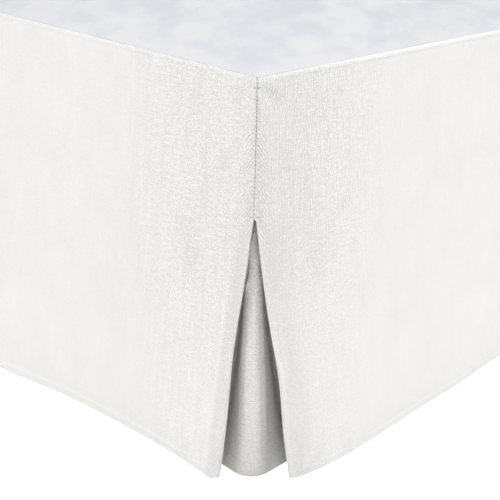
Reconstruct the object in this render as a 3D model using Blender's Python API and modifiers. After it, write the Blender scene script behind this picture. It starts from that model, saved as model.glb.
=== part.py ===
"""A tailored bed skirt with split foot corners, hanging on a plain bed base.

Units are metres and +Z is up. The bed stands on the floor at z = 0, its head end faces +Y and its
foot end faces -Y. Each cloth piece is an open middle surface that a Solidify modifier thickens.
"""

import math
from dataclasses import dataclass

import bmesh
import bpy
from mathutils import Vector

# Driving sizes: a queen bed with a 15 inch drop.
BED_WIDTH = 1.524
BED_LENGTH = 2.032
DROP = 0.381
HEM_CLEARANCE = 0.006
TOP_Z = HEM_CLEARANCE + DROP

# The bed is set back along Y so that the swell of the foot drop leaves the bounding box centred.
CENTRING = 0.0187
FOOT_Y = CENTRING - BED_LENGTH / 2
HEAD_Y = CENTRING + BED_LENGTH / 2

# Cloth. The hem is the drop's own cloth turned up, so it is thicker than one layer.
LINEN = 0.0010
HEM_THICKNESS = 0.0018
HEM_HEIGHT = 0.011
DECK_COTTON = 0.0010
PIECE_GAP = 0.0003

# The drop rolls over the base's edge and ends at the deck's seam.
TOP_ROLL = 0.003
SEAM_INSET = 0.004
DECK_INSET = SEAM_INSET + PIECE_GAP

# Each foot corner is sewn shut down to SEAM_LENGTH and splits open below it.
SEAM_LENGTH = 0.1125
CORNER_SETBACK = 0.0029
EDGE_ROLL_SEWN = 0.0008
EDGE_ROLL_GROWTH = 1.3
RETURN_WIDTH = 0.030
SPLIT_BLEND = 0.150

# The drops hang a little outwards.
FLARE_GROWTH = 1.4
FOLD_GROWTH = 1.5

# The inner panel behind a split hangs from just under the roll and sinks back towards its hem.
INSERT_REACH = 0.110
INSERT_TOP_Z = TOP_Z - TOP_ROLL - 0.002
INSERT_INSET_TOP = 0.0034
INSERT_ROUND_TOP = 0.012
INSERT_SINK_START_Z = 0.262
INSERT_SINK_GROWTH = 1.3

# The bed base: a low foundation on six turned legs.
BASE_INSET = 0.007
BASE_HEIGHT = 0.140
BASE_TOP_Z = TOP_Z - DECK_COTTON / 2 - PIECE_GAP
BASE_BOTTOM_Z = BASE_TOP_Z - BASE_HEIGHT
BASE_CORNER_RADIUS = 0.035
BASE_EDGE_RADIUS = 0.012
LEG_TOP_RADIUS = 0.030
LEG_FOOT_RADIUS = 0.022
LEG_HEIGHT = BASE_BOTTOM_Z - PIECE_GAP
LEG_INSET = 0.120
LEG_SIDES = 20
LEG_EDGE = 0.002

# Spacing of the cloth's section lines, and how the hem's thickening begins.
SMOOTH_BELOW = math.radians(40)
HEM_START_SHARE = 0.7
TOP_STEPS = 3
TURN_STEPS = 4
NEAR_CORNER = (0.0, 0.006, 0.016, 0.030, 0.050, 0.078, 0.112, SPLIT_BLEND)
WIDE_STEP = 0.062
ROWS_SEWN = (0.0, 0.030, 0.072)
ROWS_SPLIT = 6
INSERT_LEG_STEPS = 3
INSERT_ROUND_STEPS = 8
INSERT_ROWS = 9
HEM_ROWS = 2

LINEN_WHITE = (0.86, 0.85, 0.83, 1.0)
COTTON_WHITE = (0.80, 0.82, 0.86, 1.0)
TICKING_WHITE = (0.74, 0.73, 0.70, 1.0)
LEG_WOOD = (0.36, 0.24, 0.15, 1.0)


@dataclass(frozen=True)
class Fold:
    """A soft crest or trough that runs down a drop and grows towards its hem."""

    at: float  # distance of its hem end from the drop's first corner
    width: float  # distance over which it dies out sideways
    swell: float  # how far it stands out at the hem, below zero for a trough
    start: float  # share of the drop above which it doesn't reach
    lean: float  # how far its upper end lies beyond its hem end


@dataclass(frozen=True)
class Column:
    """A line down the cloth, placed from the corner that it belongs to."""

    front: float = 0.0  # distance along the front before the split moves it
    turn: float = 0.0  # angle round the turned-back edge, 0 on the front and pi behind it
    back: float = 0.0  # distance along the turned-back layer


@dataclass(frozen=True)
class Row:
    """A line along the cloth, placed from the end of the deck's seam down to the hem."""

    inset: float = 0.0  # distance from the roll towards the deck's seam
    roll: float = math.pi / 2  # angle round the roll over the base's edge
    hang: float = 0.0  # distance below the roll


@dataclass(frozen=True)
class Split:
    """The turned-back edge of a flap that is sewn above and opens below."""

    opening: float  # how far the edge has moved back from the corner at the hem
    roll: float  # radius of its soft turn at the hem


@dataclass(frozen=True)
class Drop:
    """One hanging panel, described from its first corner onwards."""

    name: str
    corner: tuple  # where the first corner stands in plan
    along: tuple  # direction from the first corner
    outward: tuple
    length: float
    first_edge: Split
    last_edge: Split | None  # None where the far end has a plain edge
    flare: float  # how far its hem stands out all along
    folds: tuple


# Foot drop, measured from the right foot corner towards the left one.
FOOT_FOLDS = (
    Fold(at=0.105, width=0.075, swell=-0.0045, start=0.20, lean=0.010),
    Fold(at=0.391, width=0.113, swell=0.0275, start=0.10, lean=0.035),
    Fold(at=0.650, width=0.100, swell=-0.010, start=0.25, lean=-0.020),
    Fold(at=0.860, width=0.105, swell=0.009, start=0.15, lean=0.015),
    Fold(at=1.090, width=0.095, swell=-0.008, start=0.30, lean=0.020),
    Fold(at=1.300, width=0.100, swell=0.010, start=0.10, lean=-0.030),
)

# Right side drop, measured from its foot corner towards the head.
RIGHT_FOLDS = (
    Fold(at=0.045, width=0.016, swell=-0.003, start=0.50, lean=-0.020),
    Fold(at=0.115, width=0.080, swell=0.0075, start=0.25, lean=0.020),
    Fold(at=0.450, width=0.130, swell=-0.014, start=0.10, lean=0.060),
    Fold(at=0.740, width=0.120, swell=0.010, start=0.20, lean=-0.015),
    Fold(at=1.010, width=0.105, swell=-0.007, start=0.30, lean=0.020),
    Fold(at=1.260, width=0.130, swell=0.011, start=0.10, lean=0.030),
    Fold(at=1.560, width=0.110, swell=-0.009, start=0.25, lean=-0.025),
    Fold(at=1.830, width=0.120, swell=0.008, start=0.20, lean=0.010),
)

# Left side drop, measured from its foot corner towards the head.
LEFT_FOLDS = (
    Fold(at=0.150, width=0.090, swell=-0.006, start=0.25, lean=0.010),
    Fold(at=0.380, width=0.110, swell=0.010, start=0.15, lean=-0.025),
    Fold(at=0.670, width=0.130, swell=-0.009, start=0.20, lean=0.020),
    Fold(at=0.960, width=0.110, swell=0.011, start=0.10, lean=0.035),
    Fold(at=1.240, width=0.120, swell=-0.010, start=0.30, lean=-0.015),
    Fold(at=1.510, width=0.100, swell=0.008, start=0.15, lean=0.020),
    Fold(at=1.790, width=0.115, swell=-0.006, start=0.25, lean=-0.010),
)

DROPS = (
    Drop(
        name="drop_foot",
        corner=(BED_WIDTH / 2, FOOT_Y, 0.0),
        along=(-1.0, 0.0, 0.0),
        outward=(0.0, -1.0, 0.0),
        length=BED_WIDTH,
        first_edge=Split(opening=0.043, roll=0.0057),
        last_edge=Split(opening=0.048, roll=0.004),
        flare=0.009,
        folds=FOOT_FOLDS,
    ),
    Drop(
        name="drop_side_right",
        corner=(BED_WIDTH / 2, FOOT_Y, 0.0),
        along=(0.0, 1.0, 0.0),
        outward=(1.0, 0.0, 0.0),
        length=BED_LENGTH,
        first_edge=Split(opening=0.0495, roll=0.003),
        last_edge=None,
        flare=0.006,
        folds=RIGHT_FOLDS,
    ),
    Drop(
        name="drop_side_left",
        corner=(-BED_WIDTH / 2, FOOT_Y, 0.0),
        along=(0.0, 1.0, 0.0),
        outward=(-1.0, 0.0, 0.0),
        length=BED_LENGTH,
        first_edge=Split(opening=0.042, roll=0.005),
        last_edge=None,
        flare=0.006,
        folds=LEFT_FOLDS,
    ),
)


@dataclass(frozen=True)
class Insert:
    """The rounded inner panel behind one foot split."""

    name: str
    side: int  # +1 for the right foot corner, -1 for the left one
    foot_inset: float  # how far it lies behind the foot drop's plane at the hem
    side_inset: float  # how far it lies behind the side drop's plane at the hem
    round_hem: float  # radius of its rounded nose at the hem


INSERTS = (
    Insert("corner_insert_right", 1, foot_inset=0.018, side_inset=0.017, round_hem=0.021),
    Insert("corner_insert_left", -1, foot_inset=0.017, side_inset=0.019, round_hem=0.027),
)


def clear_scene():
    """Remove whatever the startup scene holds."""
    for old in list(bpy.data.objects):
        bpy.data.objects.remove(old, do_unlink=True)


def part_collection(name):
    """Make and link the collection that holds the part."""
    collection = bpy.data.collections.new(name)
    bpy.context.scene.collection.children.link(collection)
    return collection


def plain_material(name, color, roughness):
    """Make a plain Principled material."""
    material = bpy.data.materials.new(name)
    material.use_nodes = True
    shader = material.node_tree.nodes["Principled BSDF"]
    shader.inputs["Base Color"].default_value = color
    shader.inputs["Roughness"].default_value = roughness
    shader.inputs["Metallic"].default_value = 0.0
    return material


def finish_object(name, bm, collection, material):
    """Turn a bmesh into a named object with one material, smooth but for its sharp edges."""
    bmesh.ops.recalc_face_normals(bm, faces=bm.faces)
    mesh = bpy.data.meshes.new(name)
    bm.to_mesh(mesh)
    bm.free()
    mesh.shade_smooth()
    mesh.set_sharp_from_angle(angle=SMOOTH_BELOW)
    mesh.materials.append(material)
    obj = bpy.data.objects.new(name, mesh)
    collection.objects.link(obj)
    return obj


def grow(share, power):
    """Ramp from 0 to 1 as the share goes from 0 to 1, flat before and after."""
    return min(max(share, 0.0), 1.0) ** power


def split_share(hang):
    """How far down the split a height lies, 0 at the end of the seam and 1 at the hem."""
    return grow((hang - SEAM_LENGTH) / (DROP - TOP_ROLL - SEAM_LENGTH), 1.0)


def hang_share(hang):
    """How far down the hanging cloth a height lies, 0 under the roll and 1 at the hem."""
    return grow(hang / (DROP - TOP_ROLL), 1.0)


def swing(drop, run, hang):
    """How far the cloth stands out from its vertical plane at one place."""
    down = hang_share(hang)
    out = drop.flare * grow(down, FLARE_GROWTH)
    for fold in drop.folds:
        offset = (run - fold.at - fold.lean * (1 - down)) / fold.width
        reached = grow((down - fold.start) / (1 - fold.start), FOLD_GROWTH)
        out += fold.swell * math.exp(-offset * offset) * reached
    return out


def end_columns(split):
    """Columns from one end of a drop to the end of its blend, the outermost first."""
    if split is None:
        return [Column(front=distance) for distance in (0.0, HEM_HEIGHT, NEAR_CORNER[-1])]
    columns = [Column(turn=math.pi, back=back) for back in (RETURN_WIDTH, RETURN_WIDTH / 2)]
    for step in range(TURN_STEPS + 1):
        columns.append(Column(turn=math.pi * (1 - step / TURN_STEPS)))
    return columns + [Column(front=distance) for distance in NEAR_CORNER[1:]]


def drop_rows():
    """Rows from the deck's seam, over the roll and down to the hem."""
    hem_hang = DROP - TOP_ROLL
    rows = [Row(inset=SEAM_INSET - TOP_ROLL, roll=0.0)]
    for step in range(TOP_STEPS):
        rows.append(Row(roll=math.pi / 2 * step / TOP_STEPS))
    rows += [Row(hang=hang) for hang in ROWS_SEWN]
    split_height = hem_hang - HEM_HEIGHT - SEAM_LENGTH
    for step in range(ROWS_SPLIT):
        rows.append(Row(hang=SEAM_LENGTH + split_height * step / (ROWS_SPLIT - 1)))
    rows += [Row(hang=hem_hang - HEM_HEIGHT * HEM_START_SHARE), Row(hang=hem_hang)]
    return rows


def edge_at(row, split):
    """Where a drop's edge lies in one row: (distance from the corner, radius of its turn)."""
    if split is None:
        return 0.0, 0.0
    mitre = TOP_ROLL + row.inset - TOP_ROLL * math.sin(row.roll)
    open_share = split_share(row.hang)
    distance = CORNER_SETBACK + mitre + split.opening * open_share
    radius = EDGE_ROLL_SEWN + (split.roll - EDGE_ROLL_SEWN) * grow(open_share, EDGE_ROLL_GROWTH)
    return distance, radius


def drop_point(drop, column, row, from_last):
    """Where one column of a drop crosses one row."""
    edge, radius = edge_at(row, drop.last_edge if from_last else drop.first_edge)
    moved = edge * max(0.0, 1 - column.front / SPLIT_BLEND)
    run = column.front + moved - radius * math.sin(column.turn) + column.back
    depth = radius * (1 - math.cos(column.turn))
    if from_last:
        run = drop.length - run
    layer_roll = TOP_ROLL - depth
    inset = TOP_ROLL + row.inset - layer_roll * math.sin(row.roll)
    height = TOP_Z - TOP_ROLL + layer_roll * math.cos(row.roll) - row.hang
    out = swing(drop, run, row.hang) - inset
    point = Vector(drop.corner) + Vector(drop.along) * run + Vector(drop.outward) * out
    point.z = height
    return point


def drop_lines(drop):
    """Each column of a drop with the end that it is measured from."""
    first = [(column, False) for column in end_columns(drop.first_edge)]
    last = [(column, True) for column in end_columns(drop.last_edge)]
    span = drop.length - 2 * SPLIT_BLEND
    steps = round(span / WIDE_STEP)
    middle = [(Column(front=SPLIT_BLEND + span * step / steps), False) for step in range(1, steps)]
    return first + middle + last[::-1]


def cloth_sheet(name, points, collection, material):
    """Bend a flat grid to rows of points and thicken it, its last rows to a hem's thickness."""
    row_count, column_count = len(points), len(points[0])
    bm = bmesh.new()
    bmesh.ops.create_grid(bm, x_segments=column_count - 1, y_segments=row_count - 1, size=0.5)
    hem = []
    for vertex in bm.verts:
        column = round((vertex.co.x + 0.5) * (column_count - 1))
        row = round((vertex.co.y + 0.5) * (row_count - 1))
        vertex.co = points[row][column]
        if row >= row_count - HEM_ROWS:
            hem.append(vertex.index)
    obj = finish_object(name, bm, collection, material)
    obj.vertex_groups.new(name="hem").add(hem, 1.0, "REPLACE")
    thicken = obj.modifiers.new("cloth", "SOLIDIFY")
    thicken.thickness = HEM_THICKNESS
    thicken.offset = 0.0
    thicken.use_even_offset = True
    thicken.vertex_group = "hem"
    thicken.thickness_vertex_group = LINEN / HEM_THICKNESS
    return obj


def make_drop(drop, collection, material):
    """One hanging panel with its hem and its turned-back edges."""
    lines = drop_lines(drop)
    points = []
    for row in drop_rows():
        points.append([drop_point(drop, column, row, from_last) for column, from_last in lines])
    return cloth_sheet(drop.name, points, collection, material)


def leg_distances(nose):
    """Distances from the corner down one flat leg of the inner panel, its free edge first."""
    span = INSERT_REACH - nose
    return [INSERT_REACH - span * step / INSERT_LEG_STEPS for step in range(INSERT_LEG_STEPS)]


def insert_section(insert, height):
    """The inner panel's line in plan at one height, from the foot drop's side to the side drop's."""
    sink = grow(1 - height / INSERT_SINK_START_Z, INSERT_SINK_GROWTH)
    behind_foot = INSERT_INSET_TOP + (insert.foot_inset - INSERT_INSET_TOP) * sink
    behind_side = INSERT_INSET_TOP + (insert.side_inset - INSERT_INSET_TOP) * sink
    radius = INSERT_ROUND_TOP + (insert.round_hem - INSERT_ROUND_TOP) * sink
    centre_x, centre_y = behind_side + radius, behind_foot + radius
    foot_leg = [(distance, behind_foot) for distance in leg_distances(centre_x)]
    nose = []
    for step in range(INSERT_ROUND_STEPS + 1):
        angle = math.pi / 2 * step / INSERT_ROUND_STEPS
        nose.append((centre_x - radius * math.sin(angle), centre_y - radius * math.cos(angle)))
    side_leg = [(behind_side, distance) for distance in leg_distances(centre_y)]
    return foot_leg + nose + side_leg[::-1]


def insert_heights():
    """Heights of the inner panel's rows, from its top edge to its hem."""
    hem_top = HEM_CLEARANCE + HEM_HEIGHT
    fall = INSERT_TOP_Z - hem_top
    heights = [INSERT_TOP_Z - fall * row / INSERT_ROWS for row in range(INSERT_ROWS + 1)]
    return heights + [HEM_CLEARANCE + HEM_HEIGHT * HEM_START_SHARE, HEM_CLEARANCE]


def make_insert(insert, collection, material):
    """The rounded inner panel behind one split."""
    corner_x = insert.side * BED_WIDTH / 2
    points = []
    for height in insert_heights():
        section = insert_section(insert, height)
        points.append([Vector((corner_x - insert.side * x, FOOT_Y + y, height)) for x, y in section])
    return cloth_sheet(insert.name, points, collection, material)


def box(low, high):
    """A bmesh of a plain box between two corners."""
    bm = bmesh.new()
    bmesh.ops.create_cube(bm, size=1.0)
    low, high = Vector(low), Vector(high)
    for vertex in bm.verts:
        share = vertex.co + Vector((0.5, 0.5, 0.5))
        vertex.co = low + Vector((high - low)[i] * share[i] for i in range(3))
    return bm


def make_deck(collection, material):
    """The flat cotton panel that lies on the base, sewn inside the drops."""
    reach = BED_WIDTH / 2 - DECK_INSET
    low = (-reach, FOOT_Y + DECK_INSET, TOP_Z - DECK_COTTON / 2)
    high = (reach, HEAD_Y, TOP_Z + DECK_COTTON / 2)
    return finish_object("deck_panel", box(low, high), collection, material)


def make_base(collection, material):
    """A low upholstered foundation with rounded corners and a softened top edge."""
    reach = BED_WIDTH / 2 - BASE_INSET
    low = (-reach, FOOT_Y + BASE_INSET, BASE_BOTTOM_Z)
    high = (reach, HEAD_Y - BASE_INSET, BASE_TOP_Z)
    bm = box(low, high)
    upright = [edge for edge in bm.edges if edge.verts[0].co.xy == edge.verts[1].co.xy]
    bmesh.ops.bevel(bm, geom=upright, offset=BASE_CORNER_RADIUS, segments=6, affect="EDGES", profile=0.5)
    top = max(bm.faces, key=lambda face: face.calc_center_median().z)
    rim = list(top.edges)
    bmesh.ops.bevel(bm, geom=rim, offset=BASE_EDGE_RADIUS, segments=3, affect="EDGES", profile=0.5)
    return finish_object("bed_base", bm, collection, material)


def make_leg(name, x, y, collection, material):
    """One turned leg, wider at the top, that stands on the floor."""
    bm = bmesh.new()
    bmesh.ops.create_cone(
        bm,
        cap_ends=True,
        segments=LEG_SIDES,
        radius1=LEG_FOOT_RADIUS,
        radius2=LEG_TOP_RADIUS,
        depth=LEG_HEIGHT,
    )
    foot = [edge for edge in bm.edges if all(vertex.co.z < 0 for vertex in edge.verts)]
    bmesh.ops.bevel(bm, geom=foot, offset=LEG_EDGE, segments=1, affect="EDGES", profile=0.5)
    leg = finish_object(name, bm, collection, material)
    leg.location = (x, y, LEG_HEIGHT / 2)
    return leg


def make_legs(collection, material):
    """Six legs in two rows."""
    reach = BED_WIDTH / 2 - LEG_INSET
    rows = (("foot", FOOT_Y + LEG_INSET), ("middle", CENTRING), ("head", HEAD_Y - LEG_INSET))
    for row, y in rows:
        for side, x in (("left", -reach), ("right", reach)):
            make_leg(f"leg_{row}_{side}", x, y, collection, material)


def main():
    """Build the skirt and the base that carries it."""
    clear_scene()
    part = part_collection("bed_skirt")
    linen = plain_material("linen", LINEN_WHITE, 0.95)
    cotton = plain_material("cotton", COTTON_WHITE, 0.85)
    ticking = plain_material("ticking", TICKING_WHITE, 0.9)
    wood = plain_material("leg_wood", LEG_WOOD, 0.5)
    make_deck(part, cotton)
    for drop in DROPS:
        make_drop(drop, part, linen)
    for insert in INSERTS:
        make_insert(insert, part, linen)
    make_base(part, ticking)
    make_legs(part, wood)


main()
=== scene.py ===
"""A tailored linen bed skirt on a plain bed base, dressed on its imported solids.

Units are metres and +Z is up. The bed stands on the floor at z = 0, its head end faces +Y and its
foot end faces -Y. The cloth pieces repeat the fold values of the solids that they stand for.
"""

import logging
import math
from collections.abc import Callable, Sequence
from dataclasses import dataclass, field, replace
from enum import Enum

import bmesh
import bpy
from bmesh.types import BMEdge, BMesh, BMFace, BMVert
from bpy.types import Material, Node, NodeSocket, NodeTree, Object
from mathutils import Matrix, Vector, noise


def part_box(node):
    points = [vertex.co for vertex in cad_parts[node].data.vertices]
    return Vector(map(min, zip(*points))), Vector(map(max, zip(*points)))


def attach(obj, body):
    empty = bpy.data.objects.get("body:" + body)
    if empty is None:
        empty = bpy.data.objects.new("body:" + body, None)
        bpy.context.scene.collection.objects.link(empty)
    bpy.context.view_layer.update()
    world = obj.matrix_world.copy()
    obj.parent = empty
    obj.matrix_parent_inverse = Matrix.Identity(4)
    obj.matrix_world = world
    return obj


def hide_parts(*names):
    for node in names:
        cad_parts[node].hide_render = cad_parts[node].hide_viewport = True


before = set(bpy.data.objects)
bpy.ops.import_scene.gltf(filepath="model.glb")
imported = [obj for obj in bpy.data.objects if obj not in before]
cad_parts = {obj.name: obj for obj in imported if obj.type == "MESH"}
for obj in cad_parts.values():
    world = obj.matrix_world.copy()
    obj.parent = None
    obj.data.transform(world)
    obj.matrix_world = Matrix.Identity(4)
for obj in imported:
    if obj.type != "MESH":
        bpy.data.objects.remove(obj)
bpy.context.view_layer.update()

LOG = logging.getLogger("bed_skirt")
Colour = tuple[float, float, float, float]
Stitch = tuple[Vector, Vector]
WHITE: Colour = (1.0, 1.0, 1.0, 1.0)

SEAM_LENGTH = 0.1118
SEWN_EDGE = 0.00106
SEWN_ROLL = 0.00028
HEM_ROWS = 8
HEM_GROOVE = 0.0005
GROOVE_WIDTH = 0.0011
STITCH_PITCH = 0.0034
STITCH_LENGTH = 0.0025
FLARE_POWER = 1.4


@dataclass(frozen=True)
class BedSize:
    """Sizes of the bed that every piece shares."""

    width: float = 1.524
    length: float = 2.032
    drop: float = 0.381
    hem_clearance: float = 0.006
    centring: float = 0.0187
    top_roll: float = 0.003
    hem_height: float = 0.011
    linen: float = 0.0005
    linen_hem: float = 0.0015

    @property
    def top_z(self) -> float:
        """Height of the deck."""
        return self.hem_clearance + self.drop

    @property
    def foot_y(self) -> float:
        """Plane of the foot drop."""
        return self.centring - self.length / 2

    @property
    def hang(self) -> float:
        """Length of cloth that hangs below the roll over the base's edge."""
        return self.drop - self.top_roll


BED = BedSize()


def grow(share: float, power: float) -> float:
    """Ramp from 0 to 1 as the share goes from 0 to 1, flat before and after."""
    return min(max(share, 0.0), 1.0) ** power


def bell(offset: float) -> float:
    """Smooth bump, 1 in its middle and near 0 from two widths away."""
    return math.exp(-offset * offset)


def spaced(start: float, end: float, step: float) -> list[float]:
    """Even distances from the start up to, but not including, the end.

    Args:
        start: First distance.
        end: Distance at which they stop.
        step: Rough spacing, rounded so that the last gap is as wide as the others.

    Returns:
        The distances in order.
    """
    count = max(1, round((end - start) / step))
    return [start + (end - start) * index / count for index in range(count)]


class Corner(Enum):
    """The two foot corners, by the side of the bed that they are on."""

    RIGHT = 1
    LEFT = -1

    @property
    def word(self) -> str:
        """The side's word in the names of pieces and nodes."""
        return self.name.lower()

    @property
    def place(self) -> Vector:
        """The corner's place on the floor."""
        return Vector((self.value * BED.width / 2, BED.foot_y, 0.0))


class Slot(Enum):
    """Material slots of the record."""

    LINEN = "linen"
    COTTON = "cotton"
    TICKING = "ticking"
    LEG_WOOD = "leg_wood"


# --- cloth ---


@dataclass(frozen=True)
class Fold:
    """A soft crest or trough that runs down a drop and grows towards its hem."""

    at: float
    width: float
    swell: float
    start: float
    lean: float

    def lift(self, run: float, down: float) -> float:
        """How far the cloth stands out because of this fold.

        Args:
            run: Distance along the drop from its first corner.
            down: Share of the drop, 0 under the roll and 1 at the hem.

        Returns:
            The distance outwards.
        """
        offset = (run - self.at - self.lean * (1 - down)) / self.width
        reached = grow((down - self.start) / (1 - self.start), 1.5)
        return self.swell * bell(offset) * reached


@dataclass(frozen=True)
class Crease:
    """A soft ridge or trough pressed into the cloth between two places on it."""

    start: tuple[float, float]
    end: tuple[float, float]
    width: float
    height: float

    def lift(self, along: float, down: float) -> float:
        """How far the cloth stands out because of this crease.

        Args:
            along: Distance along the cloth.
            down: Distance down the cloth.

        Returns:
            The distance outwards, below zero in a trough.
        """
        dx, dy = self.end[0] - self.start[0], self.end[1] - self.start[1]
        length = math.hypot(dx, dy)
        x, y = along - self.start[0], down - self.start[1]
        across = (x * dy - y * dx) / length / self.width
        share = (x * dx + y * dy) / (length * length)
        if abs(across) > 3 or not 0 < share < 1:
            return 0.0
        return self.height * bell(across) * math.sin(math.pi * share) ** 0.8


@dataclass(frozen=True)
class Rumple:
    """The slight unevenness of cloth that was washed and hung, not pressed."""

    height: float
    size: float
    seed: float

    def lift(self, along: float, down: float) -> float:
        """How far the cloth stands out at one place on it."""
        place = Vector((along / self.size + self.seed, down / self.size * 0.6, self.seed))
        fine = Vector((along / self.size * 3.1, down / self.size * 1.9 + self.seed, 0.0))
        return self.height * (noise.noise(place) + 0.3 * noise.noise(fine))


@dataclass(frozen=True)
class Spot:
    """One point of a cloth piece, with its distances on the cloth and in from its edges."""

    place: Vector
    along: float
    down: float
    inward: float = 1.0
    upward: float = 1.0


@dataclass(frozen=True)
class ClothCut:
    """How a sheet of points becomes a thin cloth piece."""

    name: str
    thickness: float
    hem_thickness: float
    hem_rows: int = 0

    def sew(self, rows: Sequence[Sequence[Spot]]) -> Object:
        """Bend a flat grid to the points and thicken it.

        Args:
            rows: Rows of points with as many points in each.

        Returns:
            The cloth piece, its hem rows thicker than the rest.
        """
        last_row, last_column = len(rows) - 1, len(rows[0]) - 1
        bm = bmesh.new()
        bmesh.ops.create_grid(bm, x_segments=last_column, y_segments=last_row, size=0.5)
        spots: dict[int, Spot] = {}
        hem: list[int] = []
        for vertex in bm.verts:
            column = round((vertex.co.x + 0.5) * last_column)
            row = round((vertex.co.y + 0.5) * last_row)
            spots[vertex.index] = rows[row][column]
            vertex.co = rows[row][column].place
            if row > last_row - self.hem_rows:
                hem.append(vertex.index)
        lay_map(bm, "cloth", lambda _, vertex: (spots[vertex.index].along, spots[vertex.index].down))
        lay_map(bm, "edges", lambda _, vertex: (spots[vertex.index].inward, spots[vertex.index].upward))
        bmesh.ops.recalc_face_normals(bm, faces=bm.faces)
        piece = finished(self.name, bm)
        piece.vertex_groups.new(name="hem").add(hem, 1.0, "REPLACE")
        thicken = piece.modifiers.new("cloth", "SOLIDIFY")
        thicken.thickness = self.hem_thickness
        thicken.offset = 0.0
        thicken.use_even_offset = True
        thicken.vertex_group = "hem"
        thicken.thickness_vertex_group = self.thickness / self.hem_thickness
        return piece


def lay_map(bm: BMesh, layer: str, place: Callable[[BMFace, BMVert], tuple[float, float]]) -> None:
    """Write two distances on every corner of every face.

    Args:
        bm: The mesh.
        layer: Name of the map.
        place: Gives the two distances of a vertex of a face.
    """
    uv = bm.loops.layers.uv.new(layer)
    for face in bm.faces:
        for loop in face.loops:
            loop[uv].uv = place(face, loop.vert)


def linked(name: str, data: bpy.types.ID) -> Object:
    """Put a mesh, a light or a camera into the scene."""
    thing = bpy.data.objects.new(name, data)
    bpy.context.scene.collection.objects.link(thing)
    return thing


def finished(name: str, bm: BMesh, sharp: float = 40.0) -> Object:
    """Turn a bmesh into a smooth object at the origin.

    Args:
        name: Name of the piece.
        bm: Its mesh, which is freed.
        sharp: Angle in degrees above which an edge stays sharp.

    Returns:
        The linked object.
    """
    mesh = bpy.data.meshes.new(name)
    bm.to_mesh(mesh)
    bm.free()
    mesh.shade_smooth()
    mesh.set_sharp_from_angle(angle=math.radians(sharp))
    return linked(name, mesh)


def dress_piece(piece: Object, material: Material, slot: Slot, nodes: Sequence[str] = ()) -> None:
    """Give a piece its finish and its place in the frame.

    Args:
        piece: The piece.
        material: Its finish.
        slot: The record's slot that the finish belongs to; not used.
        nodes: CAD nodes that the piece stands for.
    """
    piece.data.materials.append(material)
    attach(piece, "root")
    if nodes:
        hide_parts(*nodes)


# --- finishes ---


@dataclass(frozen=True)
class Signal:
    """One output of a node, which sums, products, ramps and noises can be taken of."""

    bench: "NodeBench"
    socket: NodeSocket

    def maths(self, operation: str, other: object = 0.0, clamp: bool = False) -> "Signal":
        """Join it with a number or another signal by a Math node."""
        sockets = {0: self, 1: other}
        return self.bench.signal("ShaderNodeMath", 0, sockets, operation=operation, use_clamp=clamp)

    def __add__(self, other: object) -> "Signal":
        """It and the other one together."""
        return self.maths("ADD", other)

    def __sub__(self, other: object) -> "Signal":
        """It less the other one."""
        return self.maths("SUBTRACT", other)

    def __rsub__(self, other: float) -> "Signal":
        """A number less this signal."""
        return self.bench.signal("ShaderNodeMath", 0, {0: other, 1: self}, operation="SUBTRACT")

    def __mul__(self, other: object) -> "Signal":
        """It times the other one."""
        return self.maths("MULTIPLY", other)

    def ramp(self, low: object, high: object, start: object, end: object) -> "Signal":
        """Map it smoothly from one range to another."""
        sockets = {"Value": self, "From Min": low, "From Max": high, "To Min": start, "To Max": end}
        return self.bench.signal("ShaderNodeMapRange", "Result", sockets, interpolation_type="SMOOTHSTEP")

    def rise(self, low: object, high: object) -> "Signal":
        """Ramp up from 0 to 1."""
        return self.ramp(low, high, 0.0, 1.0)

    def fall(self, low: object, high: object) -> "Signal":
        """Ramp down from 1 to 0."""
        return self.ramp(low, high, 1.0, 0.0)

    def noise(self, stretch: tuple[float, float, float], detail: float = 2.0) -> "Signal":
        """Take a stretched noise at this place.

        Args:
            stretch: Grains per metre along each axis.
            detail: Octaves of finer grain.

        Returns:
            The noise, around 0.5.
        """
        placed = self.bench.signal("ShaderNodeMapping", 0, {"Vector": self, "Scale": stretch})
        sockets = {"Vector": placed, "Scale": 1.0, "Detail": detail, "Roughness": 0.55}
        return self.bench.signal("ShaderNodeTexNoise", "Fac", sockets)

    def turned(self, degrees: float) -> "Signal":
        """Turn this place about its third axis."""
        sockets = {"Vector": self, "Rotation": (0.0, 0.0, math.radians(degrees))}
        return self.bench.signal("ShaderNodeMapping", 0, sockets)

    def parts(self) -> tuple["Signal", "Signal"]:
        """Take the first two parts of this place."""
        node = self.bench.add("ShaderNodeSeparateXYZ", {0: self})
        return Signal(self.bench, node.outputs[0]), Signal(self.bench, node.outputs[1])

    def blend(self, first: object, second: object) -> "Signal":
        """Mix two colours by this share of the second."""
        return self.bench.signal("ShaderNodeMix", 2, {0: self, 6: first, 7: second}, data_type="RGBA")


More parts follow.
